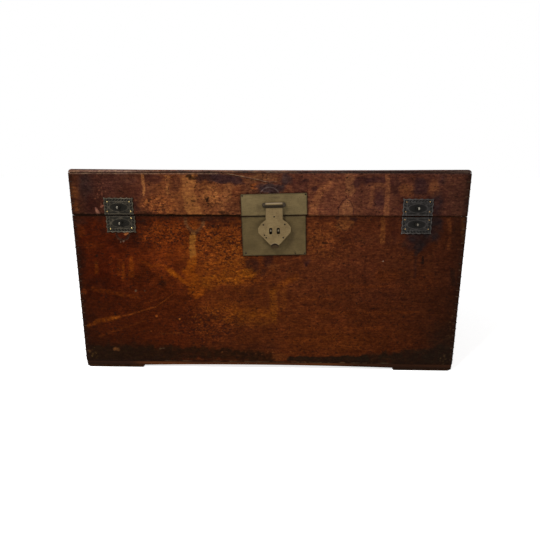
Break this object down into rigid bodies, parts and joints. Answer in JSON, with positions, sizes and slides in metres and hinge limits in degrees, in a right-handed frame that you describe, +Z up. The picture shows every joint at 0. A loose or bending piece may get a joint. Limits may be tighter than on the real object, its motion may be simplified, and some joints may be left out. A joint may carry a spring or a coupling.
{
  "type": "leather-covered wooden trunk",
  "caption": "Low rectangular trunk of lacquered leather over wood, with a rear-hinged lid, front hasp and staple lock, scalloped clasp plates and side bail handles.",
  "frame": {"origin": "on the floor, at the centre of the footprint with the front hardware included", "axes": "+X to the right as seen from the front, -Y towards the front, +Z up"},
  "size_m": [0.7942, 0.5136, 0.404],
  "materials": {
    "lacquered_leather": "worn lacquer",
    "camphor_wood": "bare",
    "stained_wood": "stained",
    "aged_brass": "patinated",
    "dark_bronze": "dark patina",
    "pin_steel": "satin"
  },
  "bodies": {
    "box": {"base_board": "stained_wood", "skid_left": "stained_wood", "skid_right": "stained_wood", "box_front_panel": "camphor_wood", "box_back_panel": "camphor_wood", "box_left_panel": "camphor_wood", "box_right_panel": "camphor_wood", "box_lip_front": "camphor_wood", "box_lip_back": "camphor_wood", "box_lip_left": "camphor_wood", "box_lip_right": "camphor_wood", "box_leather_front": "lacquered_leather", "box_leather_back": "lacquered_leather", "box_leather_left": "lacquered_leather", "box_leather_right": "lacquered_leather", "lock_plate_lower": "aged_brass", "lock_staple_left": "aged_brass", "lock_staple_right": "aged_brass", "clasp_plate_lower_left": "dark_bronze", "clasp_plate_lower_right": "dark_bronze", "clasp_stud_lower_left": "dark_bronze", "clasp_stud_lower_right": "dark_bronze", "hinge_leaf_box_left": "aged_brass", "hinge_leaf_box_right": "aged_brass", "hinge_pin_left": "pin_steel", "hinge_pin_right": "pin_steel", "bail_rosette_left_a": "aged_brass", "bail_rosette_left_b": "aged_brass", "bail_rosette_right_a": "aged_brass", "bail_rosette_right_b": "aged_brass", "bail_eye_left_a": "aged_brass", "bail_eye_left_b": "aged_brass", "bail_eye_right_a": "aged_brass", "bail_eye_right_b": "aged_brass"},
    "lid": {"lid_top_board": "camphor_wood", "lid_front_panel": "camphor_wood", "lid_back_panel": "camphor_wood", "lid_left_panel": "camphor_wood", "lid_right_panel": "camphor_wood", "lid_leather_top": "lacquered_leather", "lid_leather_front": "lacquered_leather", "lid_leather_back": "lacquered_leather", "lid_leather_left": "lacquered_leather", "lid_leather_right": "lacquered_leather", "lock_plate_upper": "aged_brass", "hasp_eye_left": "aged_brass", "hasp_eye_right": "aged_brass", "hasp_pin": "aged_brass", "clasp_plate_upper_left": "dark_bronze", "clasp_plate_upper_right": "dark_bronze", "clasp_stud_upper_left": "dark_bronze", "clasp_stud_upper_right": "dark_bronze", "hinge_leaf_lid_left": "aged_brass", "hinge_leaf_lid_right": "aged_brass"},
    "hasp": {"hasp": "aged_brass"},
    "bail_left": {"bail_left": "aged_brass"},
    "bail_right": {"bail_right": "aged_brass"}
  },
  "joints": [
    {"name": "lid_hinge", "type": "hinge", "parent": "box", "child": "lid", "pos_m": [0, 0.25176, 0.317], "axis": [-1, 0, 0], "range_deg": [0, 104]},
    {"name": "hasp_hinge", "type": "hinge", "parent": "lid", "child": "hasp", "pos_m": [0.01191, -0.24994, 0.33799], "axis": [-0.9996, 0, -0.0279], "range_deg": [-5, 165]},
    {"name": "bail_left_swing", "type": "hinge", "parent": "box", "child": "bail_left", "pos_m": [-0.3915, 0.00676, 0.215], "axis": [0, 1, 0], "range_deg": [0, 165]},
    {"name": "bail_right_swing", "type": "hinge", "parent": "box", "child": "bail_right", "pos_m": [0.3915, 0.00676, 0.215], "axis": [0, -1, 0], "range_deg": [0, 165]}
  ]
}
